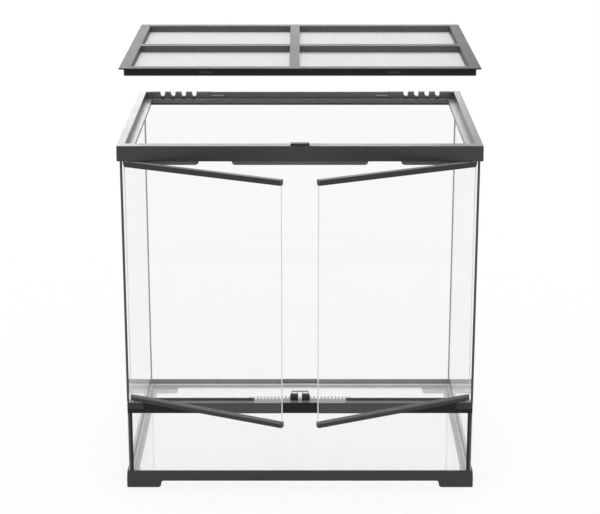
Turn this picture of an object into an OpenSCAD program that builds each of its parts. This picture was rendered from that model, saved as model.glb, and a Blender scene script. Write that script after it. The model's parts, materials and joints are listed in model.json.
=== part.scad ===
// Glass reptile terrarium: a glued glass tank with two hinged front doors, a vented
// door sill, plastic base and top frames, and a mesh lid that lifts off.
// Millimetres. The origin is the centre of the footprint on the plane of the feet,
// +Z is up and the doors face -Y. Drawn with both doors ajar and the lid lifted clear.

/* [Tank] */
// Outer width of the top frame
tank_w = 600; // [500:10:900]
// Outer depth of the top frame
tank_d = 450; // [400:10:600]
// Height from the feet to the rim
tank_h = 605; // [450:5:900]
// Thickness of every fixed pane
glass_t = 4; // [3:0.5:6]
// Thickness of the top frame's wall outside the panes
frame_wall = 5; // [4.5:0.5:7]
// Width of the silicone joint between two panes
joint_gap = 0.6; // [0.4:0.1:1]
// Radius of the frames' upright corners
corner_r = 3; // [2:0.5:4]
// Size of the silicone bead round the floor pane
floor_bead = 2; // [1:0.25:3]
// Size of the silicone bead in the rear corners
rear_bead = 1.4; // [1:0.1:3]
// Size of the silicone bead in the front corners
front_bead = 4; // [2:0.5:5]
// Thickness of the dark strips on the side panes' front edges
trim_t = 0.5; // [0.3:0.1:0.8]

/* [Base] */
// How far the base stands in from the top frame's outline
base_inset = 1; // [0.5:0.25:1.5]
// Height of the base above the table
base_h = 30; // [26:1:45]
// Height of the feet below the base bar
foot_h = 12; // [11:0.5:16]
// Length of each foot along a side
foot_len = 59; // [40:1:90]
// Radius of the foot's lower corner
foot_round = 5.5; // [3:0.5:6]
// Radius of the fillet between foot and bar
foot_fillet = 5; // [3:0.5:5]
// Thickness of the ledge that carries the panes
ledge_t = 4; // [3:0.5:6]
// How far that ledge shows inside the side panes
ledge_w = 10; // [5:0.5:12]
// How far it shows inside the front and rear panes
end_ledge_w = 3; // [2:0.5:5]
// Slope of the base's sides over their height
base_draft = 1; // [0.5:0.25:1.25]
// Chamfer round the base's upper edge
base_chamfer = 1; // [0.5:0.25:1.25]

/* [Top frame] */
// Height of the rim bar
rim_h = 25.5; // [22:0.5:35]
// Slope of the rim bar's sides over their height
rim_draft = 0.5; // [0.25:0.25:1]
// Chamfer round the rim's upper edge
rim_chamfer = 0.6; // [0.4:0.1:1]
// Thickness of the rim's top plate
rim_plate = 4; // [3:0.5:5]
// Width of the side rims, out to the frame's outline
side_rim_w = 12.5; // [12:0.5:15]
// Depth of the front rim, out to the frame's outline
front_rim_w = 20; // [19:0.5:26]
// Depth of the rear rim, out to the frame's outline
rear_rim_w = 10; // [9.5:0.5:13]
// Depth from the rim down to the lid ledge
recess_h = 12.5; // [12:0.1:14.5]
// Thickness of the lid ledge
lid_ledge_t = 6.5; // [5:0.5:8]
// Width of the lid ledge
lid_ledge_w = 11.5; // [9:0.5:14]
// Drop of the door stop below the rim bar
lip_h = 8.5; // [7:0.5:10]
// Thickness of the door stop lip
lip_t = 3; // [2.5:0.25:3.5]
// Thickness of the rim's front wall
front_wall = 3; // [2.5:0.25:3.5]
// Distance of each finger cut in the stop lip from the frame's side
cut_side = 161; // [140:1:180]
// Width of that cut
cut_w = 54; // [40:1:70]
// Radius of the lip's lower corners beside the cut
cut_round = 6; // [3:0.5:6.5]
// Thickness of the silicone over the panes' upper edges
top_seal_t = 1; // [0.5:0.25:1.5]
// Spacing of the ribs inside the front bar
rib_pitch = 48; // [40:2:60]
// Thickness of those ribs
rib_t = 2; // [1.5:0.25:3]
// Length of the solid block that holds a hinge pin at each end of the bar
hinge_block = 20; // [14:1:26]

/* [Cable ways] */
// Width of one cable notch in the rear rim
notch_w = 8.5; // [7:0.5:9.5]
// Depth of the notch below the rim
notch_h = 8; // [7:0.5:9]
// Distance of the outermost notch from the frame's side
notch_side = 43.1; // [42:0.1:50]
// Spacing of the notches
notch_pitch = 19.7; // [18.5:0.1:20]
// Thickness of the plastic under a notch
notch_floor = 3; // [2:0.5:3.5]
// Thickness of the sliding shutter
shutter_t = 1.6; // [1.2:0.1:1.8]
// Clearance round the shutter in its slot
shutter_gap = 0.2; // [0.15:0.05:0.3]
// How far the shutter's edge lies below the rim
shutter_sink = 0.6; // [0.4:0.1:1]
// Distance from the innermost notch to the shutter's finger grip
grip_gap = 22.8; // [20:0.2:26]
// Width of that grip
grip_w = 8; // [6:0.5:10]
// Height of that grip
grip_h = 6; // [4:0.5:7]
// Length of the strip beyond its grip
shutter_tail = 10.2; // [8:0.2:14]
// Length of the strip beyond its outermost notch
shutter_nose = 7; // [5.5:0.5:9]

/* [Doors] */
// Angle by which both doors stand open
door_angle = 25.5; // [0:0.5:90]
// Thickness of the door glass
door_glass_t = 4; // [3:0.5:5]
// Height of the rails along the door's edges
rail_h = 9; // [8:0.5:11]
// Thickness of those rails
rail_d = 9; // [8:0.5:9.5]
// How deep the door glass sits in a rail
rail_grip = 5; // [3:0.5:5]
// Setback of the closed door behind the frame's face
door_setback = 1; // [0.75:0.25:1.25]
// Clearance between a rail's hinge end and the side pane
side_clear = 2.3; // [1.5:0.1:3]
// Half the gap between the two closed doors
door_gap = 1; // [0.75:0.25:2]
// Clearance above and below the closed door
door_clear = 1; // [0.75:0.25:1.5]
// Clearance between the sill and the door above it
sill_clear = 3; // [2.5:0.25:4]
// Clearance between the closed door and its stops
stop_clear = 0.4; // [0.3:0.1:0.6]
// Radius of the hinge pins
pin_r = 2; // [1.5:0.1:2.2]
// Radial running clearance of the pins
pin_fit = 0.05; // [0.02:0.01:0.1]
// Radius of the pins' thrust collars
collar_r = 3.8; // [3:0.1:4]
// How deep the upper pin reaches into the rim
pin_reach = 8.5; // [6:0.5:12]
// Plastic between a pin's end and the glass in its rail
pin_wall = 0.4; // [0.2:0.1:0.8]
// Plastic under the lower pin in its bracket
pin_floor = 1.2; // [0.8:0.1:2]

/* [Sill] */
// Height of the sill's top above the table
sill_z = 157; // [120:1:200]
// Height of the sill's front face
sill_h = 19; // [17:0.5:26]
// Depth of the sill's top shelf
shelf_d = 17; // [15.5:0.5:22]
// Thickness of that shelf over the front pane
shelf_t = 7; // [6:0.5:8]
// Thickness of the sill's wall behind the front pane
sill_wall = 2.6; // [2:0.2:3]
// Width of the hinge bracket at each end
bracket_w = 27; // [22:1:32]
// Height of that bracket's face
bracket_h = 11.5; // [9:0.5:14]
// Height of the door stops on the sill
stop_h = 4.5; // [3.5:0.25:5]
// Thickness of those stops
stop_t = 2.6; // [2:0.2:3]
// Distance from the middle to a stop's inner end
stop_in = 78; // [60:1:90]
// Distance from the frame's side to a stop's outer end
stop_side = 50; // [45:1:70]
// Length of the vent comb
comb_w = 171; // [120:3:180]
// Spacing of the comb's teeth
tooth_pitch = 6; // [5:0.5:8]
// Width of one tooth
tooth_w = 3; // [2:0.25:3.5]
// Length of the teeth
tooth_d = 10; // [6:0.5:12]
// Depth of the strip that the teeth grow from
comb_root = 3; // [2:0.5:5]
// Height of the comb
comb_h = 4; // [3:0.25:5]

/* [Catch] */
// Width of each catch block
catch_w = 13.5; // [11:0.5:16]
// Height of each catch block
catch_h = 11; // [10:0.5:13]
// Depth of each catch block
catch_d = 6; // [5:0.5:6.5]
// Gap between the two blocks
catch_gap = 6; // [5:0.5:9]
// Radius of the catch magnet
magnet_r = 3.4; // [2.5:0.1:3.6]
// Thickness of the catch magnet
magnet_t = 2.5; // [1.5:0.5:3]
// Height of the magnet's centre above the sill
magnet_z = 5.5; // [4.5:0.25:6]
// Thickness of the striker plate in the door's rail
striker_t = 0.8; // [0.5:0.1:1]
// Width of the striker plate
striker_w = 12; // [8:0.5:14]
// Height of the striker plate
striker_h = 4; // [3:0.25:4.5]
// Height of the bridge over the two blocks
bridge_h = 5.4; // [4:0.2:7]

/* [Lid] */
// How far the lid is lifted off its seat
lid_raise = 123.5; // [0:0.5:200]
// Overall height of the lid frame
lid_h = 13.7; // [12.5:0.1:14]
// Thickness of the flange that rests on the rim
flange_t = 2.2; // [2:0.1:2.8]
// Overlap of the flange on the rim
flange_lap = 6; // [4:0.5:7]
// Clearance between the lid's skirt and the rim
skirt_clear = 1.5; // [1.2:0.1:2]
// Width of the lid's outer bars, flange included
lid_bar_w = 18; // [16.5:0.5:22]
// Width of the bar across the lid
cross_bar_w = 20; // [14:0.5:26]
// Width of the bar from the lid's front to its rear
long_bar_w = 16.6; // [12:0.2:22]
// Offset of that bar from the middle
long_bar_x = -9; // [-20:1:20]
// Depth of the mesh below the lid's top
mesh_drop = 11; // [9:0.5:11.5]
// Thickness of the mesh panels
mesh_t = 0.8; // [0.6:0.1:1.2]
// Number of openings across one mesh panel
mesh_cols = 10; // [6:1:12]
// Number of openings from its front to its rear
mesh_rows = 8; // [5:1:12]
// Width of the bars between those openings
mesh_bar = 5.5; // [3:0.5:7]
// How far a mesh panel's edge is held in the bars
mesh_grip = 2; // [1:0.25:2]
// Thickness of the lid's hollow bar walls
lid_wall = 3; // [2.75:0.25:3.25]
// Distance of the snap slots from the recess's side
snap_side = 134.5; // [132:0.5:160]
// Width of a snap slot in the skirt
snap_w = 24; // [18:1:24]
// Height of a snap slot in the skirt
snap_h = 3.8; // [3:0.2:4.2]
// How far a snap tab stands out from the recess wall
snap_out = 1.1; // [0.6:0.1:1.1]
// Height of the cable gap in the rear skirt
cable_gap_h = 8; // [6:0.5:9]
// Chamfer round the lid's upper edge
lid_chamfer = 0.8; // [0.4:0.1:1.2]

/* [Lid latch] */
// Width of the latch slider
latch_w = 31; // [24:1:40]
// Depth of the slider's thumb bar
thumb_d = 3.5; // [3:0.25:4]
// Thickness of the tongue that passes over the lid
tongue_t = 1.2; // [1:0.1:2]
// Length of that tongue behind the thumb bar
tongue_d = 6.2; // [5:0.2:6.4]
// Travel of the slider
latch_travel = 6; // [5:0.25:6.25]
// Width of the slider's stem
stem_w = 10; // [8:0.5:14]
// Depth of the slider's stem
stem_d = 3; // [2:0.25:3.25]
// Setback of the thumb bar behind the frame's face
latch_setback = 3; // [2:0.25:4]
// Thickness of the plate that keeps the slider in
foot_t = 2; // [1.5:0.25:3]
// Half the width of the thumb grooves below the latch
groove_x = 7; // [5:0.5:12]
// Height of a thumb groove
groove_h = 1.2; // [0.8:0.1:1.6]
// Depth of a thumb groove
groove_d = 1.1; // [0.6:0.1:1.5]
// Distance from the rim down to the upper groove
groove_drop = 7; // [5:0.5:9]
// Spacing of the two grooves
groove_pitch = 4.7; // [3:0.1:6]

/* [Hidden] */
$fn = 48;
// Overshoot of a cut past the face it leaves
eps = 1;
// Skin of silicone left where a bead is thinnest
bead_skin = 0.2;
// Gap between two beads that meet
bead_gap = 0.2;
// Play of the latch in its slot, and of a collar under its rail
slide_gap = 0.2;
collar_gap = 0.2;
// Clearance between the latch's tongue and the lid
tongue_clear = 0.3;
// Room past the end of a pin, a shutter or the latch's foot
end_room = 1;
plastic = "#3c3d40";
dark_plastic = "#2b2c2e";
glass_tint = "#dfe9ea60";
silicone = "#26272a";
steel = "#b9bcc0";

// Outline of the frames and the panes
half_w = tank_w / 2;
half_d = tank_d / 2;
pane_x = half_w - frame_wall;
pane_y = half_d - frame_wall;
pane_in_x = pane_x - glass_t;
pane_in_y = pane_y - glass_t;
inner_x = pane_in_x - joint_gap;
inner_y = pane_in_y - joint_gap;
pane_z = foot_h + ledge_t;
floor_z = pane_z + glass_t;
bead_low = floor_z + floor_bead + bead_gap;
pane_top = tank_h - rim_plate - top_seal_t;

// Base
base_x = half_w - base_inset;
base_y = half_d - base_inset;
base_bar_w = base_x - pane_in_x + ledge_w;
base_bar_d = base_y - pane_in_y + end_ledge_w;

// Top frame
rim_z = tank_h - rim_h;
lip_z = rim_z - lip_h;
recess_z = tank_h - recess_h;
lid_ledge_z = recess_z - lid_ledge_t;
recess_x = half_w - side_rim_w;
recess_front = -half_d + front_rim_w;
recess_rear = half_d - rear_rim_w;
mouth_x = recess_x - lid_ledge_w;
mouth_front = recess_front + lid_ledge_w;
mouth_rear = recess_rear - lid_ledge_w;
cut_x = half_w - cut_side;

// Rear rim with its notches and shutters
notch_z = tank_h - notch_h;
rear_channel_top = notch_z - notch_floor;
rear_pane_top = rear_channel_top - top_seal_t;
last_notch = half_w - notch_side;
notch_x = last_notch - 3 * notch_pitch;
notches = [for (i = [0 : 3]) notch_x + i * notch_pitch];
shutter_travel = notch_pitch / 2;
shutter_y = half_d - frame_wall - shutter_gap;
shutter_low = notch_z - notch_floor + shutter_gap;
shutter_top = tank_h - shutter_sink;
grip_x = notch_x - grip_gap;
grip_low = shutter_low + 2;
grip_sink = 1;
shutter_in = grip_x - shutter_tail;
shutter_out = last_notch + notch_w / 2 + shutter_nose;

// Doors, drawn closed and then turned about their hinge pins
rail_front = -half_d + door_setback;
rail_back = rail_front + rail_d;
pivot_x = -(pane_in_x - side_clear - rail_d / 2);
pivot_y = rail_front + rail_d / 2;
door_low = sill_z + sill_clear;
door_top = rim_z - door_clear;
door_glass_low = door_low + rail_h - rail_grip;
door_glass_high = door_top - rail_h + rail_grip;
pin_in_rail = rail_h - rail_grip - pin_wall;
pane_inset = 0.8;
stop_y = rail_back + stop_clear;

// Sill
sill_low = sill_z - sill_h;
sill_x = pane_x - 1;
sill_back = -half_d + shelf_d;
front_pane_top = sill_z - shelf_t;
stop_out = half_w - stop_side;
sill_wall_h = 6;
sill_wall_low = front_pane_top - sill_wall_h;
lower_pin_end = front_pane_top + pin_floor;

// Catch
catch_x = catch_gap / 2 + catch_w / 2;
magnet_centre_z = sill_z + magnet_z;
striker_low = magnet_centre_z - striker_h / 2;
bridge_bar = 1.6;
bridge_leg = 1.4;
bridge_leg_in = catch_gap / 2 + 1.2;
bridge_leg_out = catch_gap / 2 + catch_w - 3.4;
bridge_front = stop_y + 1.5;
bridge_back = stop_y + catch_d - 1;

// Lid
lid_z = tank_h + flange_t - lid_h + lid_raise;
lid_top = lid_z + lid_h;
flange_x = recess_x + flange_lap;
flange_front = recess_front - flange_lap;
flange_rear = recess_rear + flange_lap;
skirt_x = recess_x - skirt_clear;
skirt_front = recess_front + skirt_clear;
skirt_rear = recess_rear - skirt_clear;
window_x = flange_x - lid_bar_w;
window_front = flange_front + lid_bar_w;
window_rear = flange_rear - lid_bar_w;
lid_mid_y = (flange_front + flange_rear) / 2;
mesh_z = lid_top - mesh_drop - mesh_t;
snap_x = recess_x - snap_side;
slot_z = lid_z + 3.5;
slot_play = 0.7;
tab_w = snap_w - 2;
tab_z = slot_z - lid_raise + slot_play;
tab_h = snap_h - 2 * slot_play;
tab_root = 0.5;

// Latch
latch_front = -half_d + latch_setback;
tongue_low = tank_h + flange_t + tongue_clear;
latch_top = tongue_low + tongue_t;
foot_low = tank_h - rim_plate - slide_gap - foot_t;
foot_x = stem_w / 2 + 4;
foot_d = 6;

// A box between two corners
module box(low, high) {
    translate(low) cube(high - low);
}

// Children as drawn, and again on the other side
module both_sides() {
    children();
    mirror([1, 0, 0]) children();
}

// Children as drawn, and again at the other end
module both_ends() {
    children();
    mirror([0, 1, 0]) children();
}

// An outline in X and Z, run along Y from 0 to the length given
module along_y(length) {
    rotate([90, 0, 0]) translate([0, 0, -length]) linear_extrude(length) children();
}

// An outline in Y and Z, run along X from 0 to the length given
module along_x(length) {
    rotate([90, 0, 90]) linear_extrude(length) children();
}

// Cross-section of a block whose sides lean in and whose upper edges are chamfered
function leaning(half, low, high, lean, chamfer) = [
    [-half, low], [half, low], [half - lean, high - chamfer],
    [half - lean - chamfer, high], [-half + lean + chamfer, high], [-half + lean, high - chamfer]
];

// Upright prism with round corners
module round_post(x, y, r, low, high) {
    box([-x + r, -y, low], [x - r, y, high]);
    box([-x, -y + r, low], [x, y - r, high]);
    for (sx = [-1, 1], sy = [-1, 1])
        translate([sx * (x - r), sy * (y - r), low]) cylinder(r = r, h = high - low);
}

// Block with leaning sides, a chamfered upper edge and round upright corners
module leaning_block(x, y, low, high, lean, chamfer) {
    intersection() {
        translate([0, -y - eps, 0]) along_y(2 * (y + eps))
            polygon(leaning(x, low, high, lean, chamfer));
        translate([-x - eps, 0, 0]) along_x(2 * (x + eps))
            polygon(leaning(y, low, high, lean, chamfer));
        round_post(x, y, corner_r, low - eps, high + eps);
    }
}

// Rectangular funnel, wider at the top by run on every side
module funnel(x, y, low, high, run) {
    intersection() {
        translate([0, -y - eps, 0]) along_y(2 * (y + eps))
            polygon([[run - x, low], [x - run, low], [x, high], [-x, high]]);
        translate([-x - eps, 0, 0]) along_x(2 * (x + eps))
            polygon([[run - y, low], [y - run, low], [y, high], [-y, high]]);
    }
}

// Side view of one foot: round lower corner, fillet against the bar above
module foot_outline() {
    square([foot_len - foot_round, foot_h]);
    translate([foot_len - foot_round, foot_round]) square([foot_round, foot_h - foot_round]);
    translate([foot_len - foot_round, foot_round]) circle(foot_round);
    translate([foot_len, foot_h - foot_fillet]) difference() {
        square(foot_fillet);
        translate([foot_fillet, 0]) circle(foot_fillet);
    }
}

module base_frame() {
    color(plastic) difference() {
        union() {
            leaning_block(base_x, base_y, foot_h, base_h, base_draft, base_chamfer);
            intersection() {
                both_sides() both_ends() translate([-base_x, -base_y, 0]) {
                    along_y(base_bar_d) foot_outline();
                    along_x(base_bar_w) foot_outline();
                }
                round_post(base_x, base_y, corner_r, 0, base_h);
            }
        }
        box([-pane_x, -pane_y, pane_z], [pane_x, pane_y, base_h + eps]);
        box([ledge_w - pane_in_x, end_ledge_w - pane_in_y, -eps],
            [pane_in_x - ledge_w, pane_in_y - end_ledge_w, base_h]);
    }
}

module floor_glass() {
    color(glass_tint) box([-inner_x, -inner_y, pane_z], [inner_x, inner_y, floor_z]);
}

// Left side pane, which the frames take their grooves from
module side_pane() {
    box([-pane_x, -pane_y, pane_z], [-pane_in_x, pane_y, pane_top]);
}

module left_glass() {
    color(glass_tint) side_pane();
}

module right_glass() {
    color(glass_tint) mirror([1, 0, 0]) side_pane();
}

module rear_glass() {
    color(glass_tint) box([-inner_x, pane_in_y, pane_z], [inner_x, pane_y, rear_pane_top]);
}

module front_glass() {
    color(glass_tint) box([-inner_x, -pane_y, pane_z], [inner_x, -pane_in_y, front_pane_top]);
}

// Joint between a side pane and a cross pane at the left, with a hollow bead inside
module corner_joint(bead, gap_top, bead_low, bead_top) {
    box([-pane_in_x, pane_in_y, pane_z], [-inner_x, pane_y, gap_top]);
    translate([-pane_in_x, pane_in_y, bead_low]) linear_extrude(bead_top - bead_low)
        difference() {
            translate([0, -bead]) square(bead);
            translate([bead, -bead]) circle(bead - bead_skin);
        }
}

module rear_corner_seals() {
    color(silicone) both_sides()
        corner_joint(rear_bead, rear_pane_top, bead_low, lid_ledge_z - bead_gap);
}

module front_corner_seals() {
    color(silicone) both_sides() mirror([0, 1, 0])
        corner_joint(front_bead, sill_low, bead_low, sill_low);
}

module floor_seal() {
    color(silicone) difference() {
        box([-pane_in_x, -pane_in_y, pane_z], [pane_in_x, pane_in_y, floor_z + floor_bead]);
        box([-inner_x, -inner_y, pane_z - eps], [inner_x, inner_y, floor_z]);
        funnel(pane_in_x - bead_skin, pane_in_y - bead_skin,
               floor_z, floor_z + floor_bead + eps, floor_bead);
    }
}

// Dark strips on the front edges of the side panes, above and below the sill
module front_edge_trims() {
    color(silicone) both_sides() {
        box([-pane_x, -pane_y - trim_t, sill_z], [-pane_in_x, -pane_y, rim_z]);
        box([-sill_x, -pane_y - trim_t, base_h], [-pane_in_x, -pane_y, sill_low]);
    }
}

// Cavities in the front bar, open below, between ribs and two solid hinge blocks
module front_bar_cavities() {
    span = inner_x - hinge_block;
    count = floor(span / rib_pitch - 0.5);
    edges = concat([-span], [for (i = [-count : count]) i * rib_pitch], [span]);
    for (i = [0 : len(edges) - 2]) {
        left = edges[i] + rib_t / 2;
        right = edges[i + 1] - rib_t / 2;
        box([left, -half_d + front_wall, lip_z - eps], [right, stop_y, tank_h - rim_plate]);
        box([left, stop_y + lip_t, lip_z - eps],
            [right, recess_front - lip_t, tank_h - rim_plate]);
    }
}

// Slot and hollow that the latch runs in
module latch_way() {
    box([-stem_w / 2 - slide_gap, latch_front - slide_gap, foot_low],
        [stem_w / 2 + slide_gap, latch_front + stem_d + latch_travel + slide_gap, tank_h + eps]);
    box([-foot_x - end_room, -half_d + front_wall, foot_low - end_room],
        [foot_x + end_room, latch_front + foot_d + latch_travel + end_room, tank_h - rim_plate]);
}

// Cable notch at the left: a U through the rear rim and a hole down through the ledge
module cable_way(x) {
    translate([-x, recess_rear - eps, notch_z + notch_w / 2]) along_y(rear_rim_w + 2 * eps) {
        circle(notch_w / 2);
        translate([-notch_w / 2, 0]) square([notch_w, notch_h]);
    }
    hole_lap = 1;
    hole_y = recess_rear - notch_w / 2 + hole_lap;
    translate([-x, hole_y, lid_ledge_z - eps]) cylinder(r = notch_w / 2, h = lid_ledge_t + 2 * eps);
    box([-x - notch_w / 2, hole_y, lid_ledge_z - eps],
        [-x + notch_w / 2, recess_rear, recess_z + eps]);
}

// Slot of the left shutter, and the window for its finger grip
module shutter_way() {
    box([-shutter_out - shutter_travel - end_room, shutter_y - shutter_t - shutter_gap,
            rear_channel_top],
        [-shutter_in + end_room, shutter_y + shutter_gap, tank_h + eps]);
    box([-grip_x - grip_w / 2 - shutter_travel - slide_gap, shutter_y, grip_low - slide_gap],
        [-grip_x + grip_w / 2 + slide_gap, half_d + eps, grip_low + grip_h + slide_gap]);
}

// Ramped tab on the recess wall; the lid's skirt slot comes to rest round it
module snap_tab() {
    translate([-snap_x - tab_w / 2, 0, 0]) along_x(tab_w)
        polygon([[-tab_root, tab_z], [snap_out, tab_z], [-tab_root, tab_z + tab_h]]);
}

// Front view of a finger cut, flared below by the lip's round corners
module cut_outline() {
    translate([-cut_w / 2, lip_z - eps]) square([cut_w, lip_h + eps]);
    for (side = [-1, 1]) difference() {
        translate([side * (cut_w + cut_round) / 2 - cut_round / 2, lip_z - eps])
            square([cut_round, cut_round + eps]);
        translate([side * (cut_w / 2 + cut_round), lip_z + cut_round]) circle(cut_round);
    }
}

// Two grooves for the thumb in the rim's face
module thumb_grooves() {
    for (drop = [groove_drop, groove_drop + groove_pitch])
        box([-groove_x, -half_d - eps, tank_h - drop - groove_h / 2],
            [groove_x, -half_d + groove_d, tank_h - drop + groove_h / 2]);
}

module top_frame() {
    color(plastic) difference() {
        union() {
            difference() {
                leaning_block(half_w, half_d, rim_z, tank_h, rim_draft, rim_chamfer);
                box([-recess_x, recess_front, recess_z], [recess_x, recess_rear, tank_h + eps]);
                box([-mouth_x, mouth_front, rim_z - eps], [mouth_x, mouth_rear, tank_h]);
                box([-pane_in_x, recess_front, rim_z - eps],
                    [pane_in_x, pane_in_y + eps, lid_ledge_z]);
                box([-inner_x, pane_in_y, rim_z - eps], [inner_x, pane_y, rear_channel_top]);
            }
            box([-inner_x, stop_y, lip_z], [inner_x, stop_y + lip_t, rim_z + lip_t]);
            translate([0, recess_front, 0]) both_sides() snap_tab();
            translate([0, recess_rear, 0]) mirror([0, 1, 0]) both_sides() snap_tab();
        }
        both_sides() box([-pane_x, -pane_y, rim_z - eps],
                         [-pane_in_x, pane_y, tank_h - rim_plate]);
        both_sides() box([-inner_x - eps, pane_in_y, rim_z - eps],
                         [-inner_x + eps, pane_y, rear_channel_top]);
        front_bar_cavities();
        both_sides() translate([pivot_x, pivot_y, rim_z - eps])
            cylinder(r = pin_r + pin_fit, h = pin_reach + eps + end_room);
        both_sides() translate([-cut_x, stop_y - eps, 0]) along_y(lip_t + 2 * eps) cut_outline();
        both_sides() for (x = notches) cable_way(x);
        both_sides() shutter_way();
        latch_way();
        thumb_grooves();
    }
}

module top_glass_seal() {
    color(silicone) {
        both_sides() box([-pane_x, -pane_y, pane_top], [-pane_in_x, pane_y, pane_top + top_seal_t]);
        box([-inner_x, pane_in_y, rear_pane_top], [inner_x, pane_y, rear_channel_top]);
    }
}

// Hinge bracket let into the left end of the sill
module bracket_block() {
    box([-sill_x, -half_d, sill_z - bracket_h], [-sill_x + bracket_w, -pane_y, sill_z]);
    box([-inner_x, -pane_y, front_pane_top], [-sill_x + bracket_w, sill_back, sill_z]);
}

module sill_bracket() {
    difference() {
        bracket_block();
        translate([pivot_x, pivot_y, lower_pin_end - collar_gap])
            cylinder(r = pin_r + pin_fit, h = shelf_t + eps);
    }
}

module sill_bracket_left() {
    color(plastic) sill_bracket();
}

module sill_bracket_right() {
    color(plastic) mirror([1, 0, 0]) sill_bracket();
}

module door_sill() {
    color(plastic) difference() {
        union() {
            box([-sill_x, -half_d, sill_low], [sill_x, -pane_y, sill_z]);
            box([-inner_x, -pane_y, front_pane_top], [inner_x, sill_back, sill_z]);
            box([-inner_x, -pane_in_y, sill_wall_low],
                [inner_x, -pane_in_y + sill_wall, front_pane_top]);
        }
        both_sides() bracket_block();
        // Underside of the shelf behind the wall
        box([-inner_x - eps, -pane_in_y + sill_wall, sill_wall_low - eps],
            [inner_x + eps, sill_back + eps, sill_z - comb_h]);
    }
}

// Comb of teeth behind the sill, with air gaps between them
module vent_comb() {
    teeth = floor((comb_w / 2 - tooth_w / 2) / tooth_pitch);
    color(plastic) {
        box([-comb_w / 2, sill_back, sill_z - comb_h],
            [comb_w / 2, sill_back + comb_root, sill_z]);
        for (i = [-teeth : teeth])
            box([i * tooth_pitch - tooth_w / 2, sill_back + comb_root, sill_z - comb_h],
                [i * tooth_pitch + tooth_w / 2, sill_back + comb_root + tooth_d, sill_z]);
    }
}

// Low upstand that the left door's lower rail closes against
module door_stop() {
    r = stop_t / 2;
    box([-stop_out + r, stop_y, sill_z], [-stop_in - r, stop_y + stop_t, sill_z + stop_h]);
    for (x = [-stop_out + r, -stop_in - r])
        translate([x, stop_y + r, sill_z]) cylinder(r = r, h = stop_h);
}

module door_stop_left() {
    color(dark_plastic) door_stop();
}

module door_stop_right() {
    color(dark_plastic) mirror([1, 0, 0]) door_stop();
}

// Left catch block: round shoulders and a pocket for the magnet
module catch_block() {
    r = 2;
    color(dark_plastic) difference() {
        translate([-catch_x, stop_y, sill_z]) along_y(catch_d) {
            translate([-catch_w / 2, 0]) square([catch_w, catch_h - r]);
            translate([-catch_w / 2 + r, 0]) square([catch_w - 2 * r, catch_h]);
            for (x = [-1, 1]) translate([x * (catch_w / 2 - r), catch_h - r]) circle(r);
        }
        translate([-catch_x, stop_y - eps, magnet_centre_z]) rotate([-90, 0, 0])
            cylinder(r = magnet_r, h = magnet_t + eps);
    }
}

module catch_magnet() {
    color(steel) translate([-catch_x, stop_y, magnet_centre_z]) rotate([-90, 0, 0])
        cylinder(r = magnet_r, h = magnet_t);
}

// Bridge that ties the tops of the two blocks, with a window over each
module catch_bridge() {
    low = sill_z + catch_h;
    high = low + bridge_h;
    end = bridge_leg_out + bridge_leg;
    color(steel) {
        box([-end, bridge_front, high - bridge_bar], [end, bridge_back, high]);
        both_sides() for (x = [bridge_leg_in, bridge_leg_out])
            box([-x - bridge_leg, bridge_front, low], [-x, bridge_back, high - bridge_bar]);
    }
}

// Turns the left door about its pins to where it stands
module ajar() {
    translate([pivot_x, pivot_y, 0]) rotate([0, 0, -door_angle])
        translate([-pivot_x, -pivot_y, 0]) children();
}

module door_pane() {
    box([pivot_x - rail_d / 2 + pane_inset, pivot_y - door_glass_t / 2, door_glass_low],
        [-door_gap - pane_inset, pivot_y + door_glass_t / 2, door_glass_high]);
}

// Rail with a round hinge end and a groove for the glass
module rail(low) {
    difference() {
        union() {
            box([pivot_x, rail_front, low], [-door_gap, rail_back, low + rail_h]);
            translate([pivot_x, pivot_y, low]) cylinder(r = rail_d / 2, h = rail_h);
        }
        door_pane();
    }
}

module top_rail() {
    difference() {
        rail(door_top - rail_h);
        translate([pivot_x, pivot_y, door_top - pin_in_rail])
            cylinder(r = pin_r, h = pin_in_rail + eps);
    }
}

module striker() {
    box([-catch_x - striker_w / 2, rail_back - striker_t, striker_low],
        [-catch_x + striker_w / 2, rail_back, striker_low + striker_h]);
}

module bottom_rail() {
    difference() {
        rail(door_low);
        translate([pivot_x, pivot_y, door_low - eps]) cylinder(r = pin_r, h = pin_in_rail + eps);
        striker();
    }
}

module upper_pin() {
    translate([pivot_x, pivot_y, 0]) {
        translate([0, 0, door_top - pin_in_rail])
            cylinder(r = pin_r, h = pin_in_rail + door_clear + pin_reach);
        translate([0, 0, door_top]) cylinder(r = collar_r, h = door_clear - collar_gap);
    }
}

module lower_pin() {
    translate([pivot_x, pivot_y, 0]) {
        translate([0, 0, lower_pin_end])
            cylinder(r = pin_r, h = door_low + pin_in_rail - lower_pin_end);
        translate([0, 0, sill_z + collar_gap]) cylinder(r = collar_r, h = sill_clear - collar_gap);
    }
}

module left_door_glass() { color(glass_tint) ajar() door_pane(); }
module left_top_rail() { color(dark_plastic) ajar() top_rail(); }
module left_bottom_rail() { color(dark_plastic) ajar() bottom_rail(); }
module left_upper_pin() { color(steel) ajar() upper_pin(); }
module left_lower_pin() { color(steel) ajar() lower_pin(); }
module left_striker() { color(steel) ajar() striker(); }
module right_door_glass() { color(glass_tint) mirror([1, 0, 0]) ajar() door_pane(); }
module right_top_rail() { color(dark_plastic) mirror([1, 0, 0]) ajar() top_rail(); }
module right_bottom_rail() { color(dark_plastic) mirror([1, 0, 0]) ajar() bottom_rail(); }
module right_upper_pin() { color(steel) mirror([1, 0, 0]) ajar() upper_pin(); }
module right_lower_pin() { color(steel) mirror([1, 0, 0]) ajar() lower_pin(); }
module right_striker() { color(steel) mirror([1, 0, 0]) ajar() striker(); }

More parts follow.
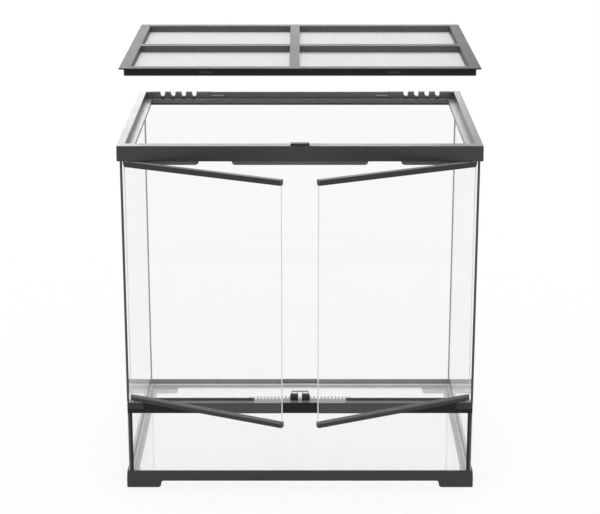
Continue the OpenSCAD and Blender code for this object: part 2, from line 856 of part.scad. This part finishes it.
// Corners of one of the lid's four windows: side -1 or 1 across the lid, end -1 or 1 along it
function window_from(side, end) = [
    side < 0 ? -window_x : long_bar_x + long_bar_w / 2,
    end < 0 ? window_front : lid_mid_y + cross_bar_w / 2
];
function window_to(side, end) = [
    side < 0 ? long_bar_x - long_bar_w / 2 : window_x,
    end < 0 ? lid_mid_y - cross_bar_w / 2 : window_rear
];

module window(side, end, margin, low, high) {
    from = window_from(side, end);
    to = window_to(side, end);
    box([from.x - margin, from.y - margin, low], [to.x + margin, to.y + margin, high]);
}

// Panel held by its edges in the bars, with a plain grid of openings over its window
module mesh_panel(side, end) {
    from = window_from(side, end);
    size = window_to(side, end) - from;
    step = [size.x / mesh_cols, size.y / mesh_rows];
    gap = step - [mesh_bar, mesh_bar];
    color(steel) difference() {
        window(side, end, mesh_grip, mesh_z, mesh_z + mesh_t);
        for (i = [0 : mesh_cols - 1], j = [0 : mesh_rows - 1])
            translate([from.x + i * step.x + mesh_bar / 2, from.y + j * step.y + mesh_bar / 2,
                       mesh_z - eps])
                cube([gap.x, gap.y, mesh_t + 2 * eps]);
    }
}

module lid_frame() {
    flange_z = lid_top - flange_t;
    flange_y = (flange_rear - flange_front) / 2;
    skirt_y = (skirt_rear - skirt_front) / 2;
    hollow_roof = 1;
    cable_gap_end = notch_w / 2 + 3;
    color(plastic) difference() {
        union() {
            translate([0, lid_mid_y, 0])
                leaning_block(flange_x, flange_y, flange_z, lid_top, 0, lid_chamfer);
            translate([0, lid_mid_y, 0])
                round_post(skirt_x, skirt_y, corner_r, lid_z, flange_z + flange_t / 2);
        }
        for (side = [-1, 1], end = [-1, 1]) {
            window(side, end, 0, lid_z - eps, lid_top + eps);
            window(side, end, mesh_grip, mesh_z, mesh_z + mesh_t);
        }
        // Hollow of the outer bars, open below
        difference() {
            box([-skirt_x + lid_wall, skirt_front + lid_wall, lid_z - eps],
                [skirt_x - lid_wall, skirt_rear - lid_wall, flange_z - hollow_roof]);
            box([-window_x - lid_wall, window_front - lid_wall, lid_z - 2 * eps],
                [window_x + lid_wall, window_rear + lid_wall, flange_z]);
        }
        both_sides() {
            box([-snap_x - snap_w / 2, skirt_front - eps, slot_z],
                [-snap_x + snap_w / 2, skirt_front + lid_wall, slot_z + snap_h]);
            box([-snap_x - snap_w / 2, skirt_rear - lid_wall, slot_z],
                [-snap_x + snap_w / 2, skirt_rear + eps, slot_z + snap_h]);
            // Way for cables through the rear skirt
            box([-last_notch - cable_gap_end, skirt_rear - lid_wall, lid_z - eps],
                [-notch_x + cable_gap_end, skirt_rear + eps, lid_z + cable_gap_h]);
        }
    }
}

module mesh_front_left() { mesh_panel(-1, -1); }
module mesh_front_right() { mesh_panel(1, -1); }
module mesh_rear_left() { mesh_panel(-1, 1); }
module mesh_rear_right() { mesh_panel(1, 1); }

// Slider with a thumb bar and a tongue; the stem goes down through the rim
module lid_latch() {
    color(dark_plastic) {
        box([-latch_w / 2, latch_front, tank_h + slide_gap],
            [latch_w / 2, latch_front + thumb_d, latch_top]);
        box([-latch_w / 2, latch_front + thumb_d, tongue_low],
            [latch_w / 2, latch_front + thumb_d + tongue_d, latch_top]);
        box([-stem_w / 2, latch_front, foot_low + foot_t],
            [stem_w / 2, latch_front + stem_d, tank_h + slide_gap]);
    }
}

// Plate under the rim that keeps the slider in
module latch_foot() {
    color(dark_plastic) box([-foot_x, latch_front + slide_gap, foot_low],
                            [foot_x, latch_front + foot_d, foot_low + foot_t]);
}

// Strip that slides outwards by half a pitch to close the left notches
module cable_shutter() {
    y0 = shutter_y - shutter_t;
    color(dark_plastic) difference() {
        union() {
            box([-shutter_out, y0, shutter_low], [-shutter_in, shutter_y, shutter_top]);
            box([-grip_x - grip_w / 2, shutter_y, grip_low],
                [-grip_x + grip_w / 2, half_d - grip_sink, grip_low + grip_h]);
        }
        for (x = notches)
            translate([-x, y0 - eps, notch_z + notch_w / 2]) along_y(shutter_t + 2 * eps) {
                circle(notch_w / 2);
                translate([-notch_w / 2, 0]) square([notch_w, notch_h]);
            }
    }
}

module cable_shutter_left() { cable_shutter(); }
module cable_shutter_right() { mirror([1, 0, 0]) cable_shutter(); }
module catch_block_left() { catch_block(); }
module catch_block_right() { mirror([1, 0, 0]) catch_block(); }
module catch_magnet_left() { catch_magnet(); }
module catch_magnet_right() { mirror([1, 0, 0]) catch_magnet(); }

base_frame();
floor_glass();
left_glass();
right_glass();
rear_glass();
front_glass();
rear_corner_seals();
front_corner_seals();
floor_seal();
front_edge_trims();
top_frame();
top_glass_seal();
door_sill();
sill_bracket_left();
sill_bracket_right();
vent_comb();
door_stop_left();
door_stop_right();
catch_block_left();
catch_block_right();
catch_magnet_left();
catch_magnet_right();
catch_bridge();
left_door_glass();
left_top_rail();
left_bottom_rail();
left_upper_pin();
left_lower_pin();
left_striker();
right_door_glass();
right_top_rail();
right_bottom_rail();
right_upper_pin();
right_lower_pin();
right_striker();
lid_frame();
mesh_front_left();
mesh_front_right();
mesh_rear_left();
mesh_rear_right();
lid_latch();
latch_foot();
cable_shutter_left();
cable_shutter_right();
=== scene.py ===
"""Finishes and fine pieces of a glass reptile terrarium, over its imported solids.

Metres throughout, in the frame of the solids: +Z up, doors towards -Y, feet on z = 0.
"""
import json
import math

import bpy
import numpy as np
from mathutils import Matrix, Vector


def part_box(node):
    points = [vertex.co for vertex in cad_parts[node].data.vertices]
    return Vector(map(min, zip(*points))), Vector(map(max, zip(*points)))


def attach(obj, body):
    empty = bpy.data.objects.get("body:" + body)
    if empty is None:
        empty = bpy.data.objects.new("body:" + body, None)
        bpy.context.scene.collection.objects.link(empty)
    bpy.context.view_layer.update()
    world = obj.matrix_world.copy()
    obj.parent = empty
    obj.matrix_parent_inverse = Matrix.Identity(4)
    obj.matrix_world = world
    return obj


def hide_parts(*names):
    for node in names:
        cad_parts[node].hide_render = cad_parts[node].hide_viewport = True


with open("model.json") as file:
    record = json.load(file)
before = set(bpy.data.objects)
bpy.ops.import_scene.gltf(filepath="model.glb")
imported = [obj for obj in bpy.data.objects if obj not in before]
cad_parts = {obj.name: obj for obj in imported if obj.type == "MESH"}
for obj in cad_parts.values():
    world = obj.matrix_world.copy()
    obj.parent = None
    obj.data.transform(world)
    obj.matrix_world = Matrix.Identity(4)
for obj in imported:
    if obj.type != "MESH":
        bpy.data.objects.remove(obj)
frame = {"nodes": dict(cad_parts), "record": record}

MM = 0.001
bpy.context.scene.view_settings.view_transform = "Standard"
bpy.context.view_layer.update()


# ---------------------------------------------------------------- camera and light

CAMERA_PLACE = (0.0, -3001 * MM, 1262 * MM)
CAMERA_PITCH = math.radians(16.94)
SENSOR = 36.0
LENS = 104.9


def make_camera():
    """A long lens in front of the doors, looking down on the rim."""
    data = bpy.data.cameras.new("camera")
    data.sensor_width = SENSOR
    data.lens = LENS
    camera = bpy.data.objects.new("camera", data)
    camera.location = CAMERA_PLACE
    camera.rotation_euler = (math.pi / 2 - CAMERA_PITCH, 0, 0)
    bpy.context.collection.objects.link(camera)
    bpy.context.scene.camera = camera


# ---------------------------------------------------------------- node helpers

def linear(hex_colour):
    """The linear RGBA of an opaque sRGB colour written as #rrggbb."""
    values = [int(hex_colour[i:i + 2], 16) / 255 for i in (1, 3, 5)]
    return [v / 12.92 if v <= 0.04045 else ((v + 0.055) / 1.055) ** 2.4 for v in values] + [1.0]


def add(tree, kind, inputs=None, **settings):
    """Adds a node, gives it its settings, and sets or links its inputs by name or number."""
    node = tree.nodes.new(kind)
    for name, value in settings.items():
        setattr(node, name, value)
    for name, value in (inputs or {}).items():
        socket = node.inputs[name]
        if isinstance(value, bpy.types.NodeSocket):
            tree.links.new(value, socket)
        else:
            socket.default_value = value
    return node


def new_material(name):
    """An empty material and its node tree."""
    material = bpy.data.materials.new(name)
    material.use_nodes = True
    material.node_tree.nodes.clear()
    return material, material.node_tree


def close_material(tree, shader):
    """Links the last shader to the output."""
    add(tree, "ShaderNodeOutputMaterial", {"Surface": shader})


# ---------------------------------------------------------------- world, lamps, floor

WHITE = "#ffffff"
PAPER = "#fdfdfd"
WORLD_LEVEL = 1.0
FLOOR_GLOW = 0.82
# A lamp's place, the point that it faces, its width and height, and how bright it looks.
KEY_LAMP = ((-1.2, -2.6, 2.9), (0.0, 0.0, 0.4), (1.8, 1.2), 2.2)
BACK_LAMP = ((-1.05, 4.0, 1.5), (0.0, 0.0, 0.6), (3.6, 1.6), 3.5)


def shown_rays(tree):
    """1 for the rays that show a thing: the camera's own, and those by way of gloss or glass."""
    path = add(tree, "ShaderNodeLightPath")
    seen = add(tree, "ShaderNodeMath", {0: path.outputs["Is Camera Ray"],
                                        1: path.outputs["Is Glossy Ray"]}, operation="MAXIMUM")
    seen = add(tree, "ShaderNodeMath", {0: seen.outputs[0],
                                        1: path.outputs["Is Transmission Ray"]},
               operation="MAXIMUM")
    return seen.outputs[0]


def make_world(strength):
    """White to the camera and in gloss and glass, and a plain level of light on matt faces."""
    world = bpy.data.worlds.new("studio")
    world.use_nodes = True
    tree = world.node_tree
    tree.nodes.clear()
    light = add(tree, "ShaderNodeBackground", {"Color": linear(WHITE), "Strength": strength})
    shown = add(tree, "ShaderNodeBackground", {"Color": linear(WHITE), "Strength": 1.0})
    mix = add(tree, "ShaderNodeMixShader", {0: shown_rays(tree), 1: light.outputs[0],
                                            2: shown.outputs[0]})
    add(tree, "ShaderNodeOutputWorld", {"Surface": mix.outputs[0]})
    bpy.context.scene.world = world


def make_lamp(name, place, target, size, radiance, lit=None):
    """A soft box of the given width and height that faces its target.

    It shows only in gloss: the camera doesn't see it and matt faces get nothing from it. Its
    power is pi times its area times how bright it looks, where 1 is white. Where lit is given,
    it shows on those objects alone.
    """
    data = bpy.data.lights.new(name, "AREA")
    data.shape = "RECTANGLE"
    data.size, data.size_y = size
    data.energy = math.pi * size[0] * size[1] * radiance
    lamp = bpy.data.objects.new(name, data)
    lamp.location = place
    aim = np.array(target) - np.array(place)
    lamp.rotation_mode = "QUATERNION"
    lamp.rotation_quaternion = Vector(aim).to_track_quat("-Z", "Y")
    lamp.visible_camera = False
    lamp.visible_diffuse = False
    if lit:
        flagged = bpy.data.collections.new(f"lit_by_{name}")
        for ob in lit:
            flagged.objects.link(ob)
        lamp.light_linking.receiver_collection = flagged
    bpy.context.collection.objects.link(lamp)


def floor_material():
    """Matt white paper, shown white where nothing shades it, with the part's own shadow."""
    material, tree = new_material("studio_paper")
    paper = add(tree, "ShaderNodeBsdfDiffuse", {"Color": linear(PAPER)})
    glow = add(tree, "ShaderNodeEmission", {"Color": linear(WHITE), "Strength": 1.0})
    share = add(tree, "ShaderNodeMath", {0: shown_rays(tree), 1: FLOOR_GLOW},
                operation="MULTIPLY")
    both = add(tree, "ShaderNodeMixShader", {0: share.outputs[0], 1: paper.outputs[0],
                                             2: glow.outputs[0]})
    close_material(tree, both.outputs[0])
    return material


def make_floor():
    """A wide sheet just under the feet."""
    half = 12.0
    drop = 0.2 * MM
    mesh = bpy.data.meshes.new("floor")
    corners = [(-half, -half, -drop), (half, -half, -drop), (half, half, -drop),
               (-half, half, -drop)]
    mesh.from_pydata(corners, [], [(0, 1, 2, 3)])
    mesh.materials.append(floor_material())
    floor = bpy.data.objects.new("floor", mesh)
    bpy.context.collection.objects.link(floor)


# ---------------------------------------------------------------- materials

def patch(tree, tests):
    """1 where every test holds: a coordinate lies within a reach of a middle value.

    The coordinate is X, Y or Z of the place, of the place with its signs dropped ("side"),
    or of the way that the face points ("facing").
    """
    place = add(tree, "ShaderNodeTexCoord")
    side = add(tree, "ShaderNodeVectorMath", {0: place.outputs["Object"]}, operation="ABSOLUTE")
    sources = {"place": place.outputs["Object"], "side": side.outputs[0],
               "facing": place.outputs["Normal"]}
    share = 1.0
    for source, axis, middle, reach in tests:
        parts = add(tree, "ShaderNodeSeparateXYZ", {0: sources[source]})
        near = add(tree, "ShaderNodeMath", {0: parts.outputs[axis], 1: middle, 2: reach},
                   operation="COMPARE")
        share = add(tree, "ShaderNodeMath", {0: near.outputs[0], 1: share},
                    operation="MULTIPLY").outputs[0]
    return share


# Widths and depths of a surface's grain in millimetres. A spark-eroded skin has a grain
# 0.2 mm wide; it is drawn at 0.9 mm, as coarse as it has to be to show.
MOULDED_GRAIN = (0.9, 0.02)
FINE_GRAIN = (0.9, 0.01)
SLOW_LUMPS = (3.0, 0.05)
FAINT_LUMPS = (3.0, 0.01)
GRAIN_STRENGTH = 0.6
DRIFT_MM = 40
GLOSS_DRIFT = 0.04
COLOUR_DRIFT = 1.25
PLASTIC_IOR = 1.53
COAT_ROUGHNESS = 0.3


def plastic(name, colour, roughness, grain, coat=0.0, gloss=0.5, patches=()):
    """Dark moulded or extruded plastic, or cured silicone, with the grain that its tool left.

    The grain is a noise of the given width whose height is the given depth. The gloss and the
    colour wander a little over a few centimetres, as on a real moulding. Each patch is a pair
    of tests and the colour that the faces there have. It stands in for the light that falls
    on those faces, so they keep that colour in any light.
    """
    material, tree = new_material(name)
    grain_mm, grain_depth_mm = grain
    place = add(tree, "ShaderNodeTexCoord").outputs["Object"]
    skin = add(tree, "ShaderNodeTexNoise", {"Vector": place, "Scale": 1 / (grain_mm * MM),
                                            "Detail": 2.0, "Roughness": 0.6})
    drift = add(tree, "ShaderNodeTexNoise", {"Vector": place, "Scale": 1 / (DRIFT_MM * MM),
                                             "Detail": 3.0})
    rough = add(tree, "ShaderNodeMapRange", {"Value": drift.outputs["Fac"],
                                             "To Min": roughness - GLOSS_DRIFT,
                                             "To Max": roughness + GLOSS_DRIFT})
    dark = linear(colour)
    pale = [min(1.0, v * COLOUR_DRIFT) for v in dark[:3]] + [1.0]
    tint = add(tree, "ShaderNodeMix", {0: drift.outputs["Fac"], 6: dark, 7: pale},
               data_type="RGBA")
    for tests, patch_colour in patches:
        tint = add(tree, "ShaderNodeMix", {0: patch(tree, tests), 6: tint.outputs[2],
                                           7: linear(patch_colour)}, data_type="RGBA")
    bump = add(tree, "ShaderNodeBump", {"Height": skin.outputs["Fac"],
                                        "Distance": grain_depth_mm * MM,
                                        "Strength": GRAIN_STRENGTH})
    shader = add(tree, "ShaderNodeBsdfPrincipled", {"Base Color": tint.outputs[2],
                                                    "Roughness": rough.outputs[0],
                                                    "Normal": bump.outputs[0],
                                                    "IOR": PLASTIC_IOR,
                                                    "Specular IOR Level": gloss,
                                                    "Coat Weight": coat,
                                                    "Coat Roughness": COAT_ROUGHNESS})
    close_material(tree, shader.outputs[0])
    return material


GLASS_TINT = "#fefefe"
# Float glass has 1.52. A lower value keeps the images of the sill and the doors faint.
GLASS_IOR = 1.38
FLOOR_PANE_IOR = 1.5
FLOOR_PANE_CLEARNESS = 0.82
GROUND_EDGE = "#dadddb"
GROUND_ROUGHNESS = 0.45
EDGE_LIMIT = 0.5


def float_glass(name, face, tint=GLASS_TINT, mirror=WHITE, clearness=1.0, ior=GLASS_IOR):
    """Clear float glass, smooth as it was floated, with its narrow edges ground pale.

    The face is the direction that the pane's two large sides point in; a side that points
    well away from it is an edge. The mirror is the colour that its faces give to what they
    reflect. Light that falls through the pane on other pieces passes it straight.
    """
    material, tree = new_material(name)
    glass = add(tree, "ShaderNodeBsdfPrincipled", {"Base Color": linear(tint),
                                                   "Transmission Weight": clearness,
                                                   "Roughness": 0.0, "IOR": ior,
                                                   "Specular Tint": linear(mirror)})
    path = add(tree, "ShaderNodeLightPath")
    lit = add(tree, "ShaderNodeMath", {0: path.outputs["Is Shadow Ray"],
                                       1: path.outputs["Is Diffuse Ray"]}, operation="MAXIMUM")
    clear = add(tree, "ShaderNodeBsdfTransparent", {"Color": linear(tint)})
    pane = add(tree, "ShaderNodeMixShader", {0: lit.outputs[0], 1: glass.outputs[0],
                                             2: clear.outputs[0]})
    ground = add(tree, "ShaderNodeBsdfPrincipled", {"Base Color": linear(GROUND_EDGE),
                                                    "Roughness": GROUND_ROUGHNESS})
    normal = add(tree, "ShaderNodeTexCoord").outputs["Normal"]
    across = add(tree, "ShaderNodeVectorMath", {0: normal, 1: face}, operation="DOT_PRODUCT")
    flat = add(tree, "ShaderNodeMath", {0: across.outputs["Value"]}, operation="ABSOLUTE")
    edge = add(tree, "ShaderNodeMath", {0: flat.outputs[0], 1: EDGE_LIMIT},
               operation="LESS_THAN")
    both = add(tree, "ShaderNodeMixShader", {0: edge.outputs[0], 1: pane.outputs[0],
                                             2: ground.outputs[0]})
    close_material(tree, both.outputs[0])
    return material


METAL_DRIFT_MM = 2
METAL_SMOOTHER = 0.05
METAL_ROUGHER = 0.08


def metal(name, colour, roughness):
    """Bare metal, whose gloss wanders over 2 mm as rolled, drawn or plated metal's does."""
    material, tree = new_material(name)
    place = add(tree, "ShaderNodeTexCoord").outputs["Object"]
    noise = add(tree, "ShaderNodeTexNoise", {"Vector": place,
                                             "Scale": 1 / (METAL_DRIFT_MM * MM),
                                             "Detail": 3.0})
    rough = add(tree, "ShaderNodeMapRange", {"Value": noise.outputs["Fac"],
                                             "To Min": roughness - METAL_SMOOTHER,
                                             "To Max": roughness + METAL_ROUGHER})
    shader = add(tree, "ShaderNodeBsdfPrincipled", {"Base Color": linear(colour),
                                                    "Metallic": 1.0,
                                                    "Roughness": rough.outputs[0]})
    close_material(tree, shader.outputs[0])
    return material


DOOR_ANGLE = math.radians(25.5)
LEFT_DOOR_FACE = (math.sin(DOOR_ANGLE), math.cos(DOOR_ANGLE), 0.0)
RIGHT_DOOR_FACE = (-math.sin(DOOR_ANGLE), math.cos(DOOR_ANGLE), 0.0)

# Ways that a face may point.
UPRIGHT = ("facing", "Z", 0.0, 0.5)
UPWARD = ("facing", "Z", 1.0, 0.5)
NEARLY_LEVEL = ("facing", "Z", 1.0, 0.3)
SLOPING = ("facing", "Z", 0.65, 0.34)
SLACK = 0.1 * MM


def within(node, margin):
    """Tests for what lies further in than the margin from a node's four upright sides."""
    low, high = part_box(node)
    return [("place", axis, (low[i] + high[i]) / 2, (high[i] - low[i]) / 2 - margin)
            for i, axis in enumerate("XY")]


def upper_part(node, depth):
    """Tests for the uppermost part of a node, down to the depth."""
    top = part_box(node)[1][2]
    return [("place", "Z", top - depth / 2, depth / 2 + SLACK)]


# Where the patches of painted light lie on the part, and how far each one reaches.
RIM_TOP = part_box("top_frame")[1][2]
RIM_WALL = 4.3 * MM
LID_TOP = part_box("lid_frame")[1][2]
LID_TOP_REACH = 2 * MM
LID_MARGIN = 14 * MM
MESH_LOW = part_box("mesh_front_left")[0][2]
LEDGE_BELOW_RIM = 12.5 * MM
LEDGE_REACH = 1 * MM
TAB_X, TAB_HALF_W = 153.5 * MM, 12 * MM
TAB_Y, TAB_Y_REACH = 210 * MM, 10 * MM
TAB_BELOW_RIM, TAB_REACH = 6.1 * MM, 1.4 * MM
RAIL_LIP = 2.5 * MM
BASE_WALL = 3.3 * MM
BASE_LEDGE_MARGIN = 8 * MM
BASE_LEDGE_Z, BASE_LEDGE_REACH = 12 * MM, 20 * MM

TOPS = [UPWARD]
FRAME_INSIDE = within("top_frame", RIM_WALL) + [UPRIGHT]
BASE_INSIDE = within("base_frame", BASE_WALL) + [UPRIGHT]
LID_INSIDE = within("lid_frame", LID_MARGIN) + [
    UPRIGHT, ("place", "Z", (LID_TOP + MESH_LOW) / 2, (LID_TOP - MESH_LOW) / 2)]
LID_TOPS = TOPS + [("place", "Z", LID_TOP, LID_TOP_REACH)]
LID_LEDGE = [NEARLY_LEVEL, ("place", "Z", RIM_TOP - LEDGE_BELOW_RIM, LEDGE_REACH)]
TAB_RAMPS = [("side", "X", TAB_X, TAB_HALF_W), ("place", "Y", TAB_Y, TAB_Y_REACH),
             ("place", "Z", RIM_TOP - TAB_BELOW_RIM, TAB_REACH), SLOPING]
BASE_LEDGE = within("base_frame", BASE_LEDGE_MARGIN) + [
    NEARLY_LEVEL, ("place", "Z", BASE_LEDGE_Z, BASE_LEDGE_REACH)]

# Black ABS moulded in a blasted tool: near black with a dull broad shine. Its tops are
# painted the grey that light from above would give them.
MATT_SILL = plastic("matt_moulded_abs_sill", "#0c0c0d", 0.4, MOULDED_GRAIN, gloss=0.22,
                    patches=[(TOPS, "#7c7c7e")])
# The same ABS in the brackets at the sill's ends, a shade lighter.
MATT_BRACKET = plastic("matt_moulded_abs_bracket", "#2e2e2f", 0.4, MOULDED_GRAIN, gloss=0.22,
                       patches=[(TOPS, "#7c7c7e")])
SLOT_FINISHES = {
    # Black ABS moulded in a spark-eroded tool: satin charcoal under a thin waxy sheen. The
    # faces inside the rim, the tabs' ramps and the lid's ledge are painted the pale greys that
    # light from above would give them.
    "frame_plastic": plastic("satin_moulded_abs", "#0f0f11", 0.42, MOULDED_GRAIN, coat=0.35,
                             patches=[(FRAME_INSIDE, "#4e4e4f"), (TAB_RAMPS, "#9a9a9b"),
                                      (LID_LEDGE, "#8c8c8d")]),
    # The lid's ABS, moulded with a duller skin: charcoal with hardly a shine. Its tops and
    # inner faces are painted paler, as light from above would make them.
    "lid_plastic": plastic("satin_moulded_abs_lid", "#222223", 0.45, MOULDED_GRAIN, gloss=0.06,
                           patches=[(LID_TOPS, "#4e4e4f"), (LID_INSIDE, "#5c5c5d")]),
    # Black nylon, moulded: deeper than the ABS, with a faint broad shine.
    "catch_plastic": plastic("black_moulded_nylon", "#070708", 0.45, MOULDED_GRAIN),
    # Black PVC, extruded: smooth and dark along its length. Its lip and upper face are
    # painted paler, as light from above would make them.
    "rail_plastic": plastic("extruded_black_pvc", "#0e0e0f", 0.35, FINE_GRAIN,
                            patches=[(upper_part("left_bottom_rail", RAIL_LIP), "#49494a"),
                                     (TOPS, "#5c5c5e")]),
    # Soda-lime glass, floated flat and cut: seen straight through, with a weak mirror image
    # in its faces and pale ground edges.
    "tank_glass": float_glass("float_glass_cross_panes", (0.0, 1.0, 0.0), "#f9f9f9", "#949494"),
    # The same glass in the doors, which stand turned: pale edges, a slightly stronger image.
    "door_glass": float_glass("float_glass_left_door", LEFT_DOOR_FACE),
    # Black silicone, run in and smoothed by hand: a soft gleam over slow lumps.
    "silicone": plastic("black_silicone", "#141415", 0.3, SLOW_LUMPS),
    # Black rubber, moulded: dead black with hardly a highlight.
    "stop_rubber": plastic("moulded_rubber", "#040405", 0.6, MOULDED_GRAIN, gloss=0.1),
    # Nickel-plated magnet: a dark, slightly blurred mirror.
    "magnet_steel": metal("nickel_plated_magnet", "#3c3b39", 0.35),
    # Rolled steel strip, bent: pale grey with a soft shine.
    "bridge_metal": metal("bent_steel_strip", "#8a8a88", 0.35),
    # Steel, turned: bright, with a short sharp highlight.
    "pin_steel": metal("turned_steel", "#c5c5c3", 0.25),
    # Aluminium wire, drawn and plain-woven: silvery threads that melt into a pale haze.
    "lid_mesh": metal("woven_aluminium_wire", "#f1f1f2", 0.4),
}
# The side panes' float glass: all but unseen, apart from its edges and a faint image.
SIDE_PANE = float_glass("float_glass_side_panes", (1.0, 0.0, 0.0), "#fbfbfb")
# The upper rails' extruded PVC, its upper face painted paler still, where light from above
# falls.
TOP_RAIL = plastic("extruded_black_pvc_top", "#0e0e0f", 0.35, FINE_GRAIN,
                   patches=[(TOPS, "#98989b")])
NODE_FINISHES = {
    # The low front pane's float glass: clear, with the same weak image as the doors.
    "front_glass": float_glass("float_glass_front_pane", (0.0, 1.0, 0.0), "#fdfdfd"),
    "left_glass": SIDE_PANE,
    "right_glass": SIDE_PANE,
    # The floor's float glass: it mirrors more than the upright panes, and a slight haze lies
    # over what is under it.
    "floor_glass": float_glass("float_glass_floor_pane", (0.0, 0.0, 1.0),
                               clearness=FLOOR_PANE_CLEARNESS, ior=FLOOR_PANE_IOR),
    # The right door's float glass, as the left's.
    "right_door_glass": float_glass("float_glass_right_door", RIGHT_DOOR_FACE),
    "left_top_rail": TOP_RAIL,
    "right_top_rail": TOP_RAIL,
    # Grey silicone squeezed between the rear panes: a mid grey line with a soft gleam.
    "rear_corner_seals": plastic("grey_silicone_seams", "#838383", 0.4, SLOW_LUMPS),
    # Grey silicone under the floor pane, smoothed: a paler, flatter bead.
    "floor_seal": plastic("grey_silicone", "#cacaca", 0.4, FAINT_LUMPS),
    # Black silicone wiped on the panes' front edges: dull charcoal.
    "front_edge_trims": plastic("black_silicone_trim", "#303031", 0.3, SLOW_LUMPS),
    # The base's ABS, moulded with a duller skin: dark grey without a bright edge. Its inner
    # faces and ledges are painted paler, as light would make them.
    "base_frame": plastic("matt_moulded_abs_base", "#3c3c3d", 0.5, FINE_GRAIN, gloss=0.1,
                          patches=[(BASE_INSIDE, "#8a8a8b"), (BASE_LEDGE, "#b0b0b1")]),
    "door_sill": MATT_SILL,
    "sill_bracket_left": MATT_BRACKET,
    "sill_bracket_right": MATT_BRACKET,
    # The comb's ABS: a row of mid grey teeth, their tops painted paler as if lit from above.
    "vent_comb": plastic("matt_moulded_abs_comb", "#686869", 0.4, MOULDED_GRAIN, gloss=0.22,
                         patches=[(TOPS, "#8a8a8c")]),
}


def objects_of(name):
    """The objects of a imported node, which is one object or several."""
    node = frame["nodes"][name]
    return list(node) if isinstance(node, (list, tuple)) else [node]


def unglazed():
    """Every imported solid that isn't a pane of glass."""
    return [ob for part in frame["record"]["subparts"] if not part["node"].endswith("_glass")
            for ob in objects_of(part["node"])]


def dress_solids():
    """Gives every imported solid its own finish, or that of its slot in the record."""
    for part in frame["record"]["subparts"]:
        name = part["node"]
        finish = NODE_FINISHES.get(name, SLOT_FINISHES[part["material_slot"]])
        for ob in objects_of(name):
            if not ob.data.materials:
                ob.data.materials.append(finish)
            for slot in ob.material_slots:
                slot.material = finish


# ---------------------------------------------------------------- woven lid mesh

# Real insect screen has a wire every 1.4 mm; it is drawn coarser, so that it shows.
WIRE_PITCH = 2.2 * MM
WIRE_RADIUS = 0.24 * MM
WIRE_SIDES = 4
MESH_PANELS = ("mesh_front_left", "mesh_front_right", "mesh_rear_left", "mesh_rear_right")


def wires(count, pitch, start, length, radius, sides):
    """One set of woven wires as points and faces.

    Wire k lies at start + k * pitch across, and runs along from 0 to the length. It goes over
    and under the wires of the other set by turns: its height is the radius times
    cos(pi * (i + k)) at crossing i, straight from one crossing to the next. Its section is a
    polygon of the given sides, turned by half a step so that it has a flat on top.
    """
    steps = int(round(length / pitch)) + 1
    along = np.linspace(0.0, length, steps)
    k = np.arange(count)
    across = start + k * pitch
    lift = radius * np.cos(np.pi * (np.arange(steps)[None, :] + k[:, None]))
    turn = (np.arange(sides) + 0.5) * 2 * np.pi / sides
    points = np.empty((count, steps, sides, 3))
    points[..., 0] = across[:, None, None] + radius * np.cos(turn)
    points[..., 1] = along[None, :, None]
    points[..., 2] = lift[:, :, None] + radius * np.sin(turn)
    number = np.arange(count * steps * sides).reshape(count, steps, sides)
    here, ahead = number[:, :-1], number[:, 1:]
    walls = np.stack([here, ahead, np.roll(ahead, -1, 2), np.roll(here, -1, 2)], -1)
    caps = np.concatenate([number[:, 0, :], number[:, -1, ::-1]])
    return points.reshape(-1, 3), np.concatenate([walls.reshape(-1, 4), caps])


def mesh_piece(name, points, faces, material, body, replaced=None):
    """Makes a piece of quads, gives it its finish, and sets it on its body."""
    mesh = bpy.data.meshes.new(name)
    mesh.from_pydata(points.tolist(), [], faces.tolist())
    mesh.materials.append(material)
    mesh.polygons.foreach_set("use_smooth", np.ones(len(mesh.polygons), bool))
    mesh.update()
    piece = bpy.data.objects.new(name, mesh)
    bpy.context.collection.objects.link(piece)
    if replaced:
        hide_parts(replaced)
    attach(piece, body)
    return piece


def woven_panel(node, material):
    """Plain-woven wire in the place of a flat panel: warp along Y, weft along X."""
    low, high = (np.array(corner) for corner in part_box(node))
    size = high - low
    middle = (low + high) / 2
    counts = np.floor((size[:2] - 2 * WIRE_RADIUS) / WIRE_PITCH).astype(int)
    starts = middle[:2] - (counts - 1) * WIRE_PITCH / 2
    warp, warp_faces = wires(counts[0], WIRE_PITCH, starts[0], size[1], WIRE_RADIUS, WIRE_SIDES)
    warp += (0, low[1], middle[2])
    weft, weft_faces = wires(counts[1], WIRE_PITCH, starts[1], size[0], WIRE_RADIUS, WIRE_SIDES)
    weft[:, 2] *= -1
    weft = weft[:, [1, 0, 2]] + (low[0], 0, middle[2])
    points = np.concatenate([warp, weft])
    faces = np.concatenate([warp_faces, weft_faces + len(warp)])
    return mesh_piece(f"{node}_weave", points, faces, material, "lid", node)


make_camera()
make_world(WORLD_LEVEL)
make_lamp("key", *KEY_LAMP)
# The lamp behind leaves the panes out: its image in the floor pane would whiten it.
make_lamp("back", *BACK_LAMP, lit=unglazed())
make_floor()
dress_solids()
for panel in MESH_PANELS:
    woven_panel(panel, SLOT_FINISHES["lid_mesh"])
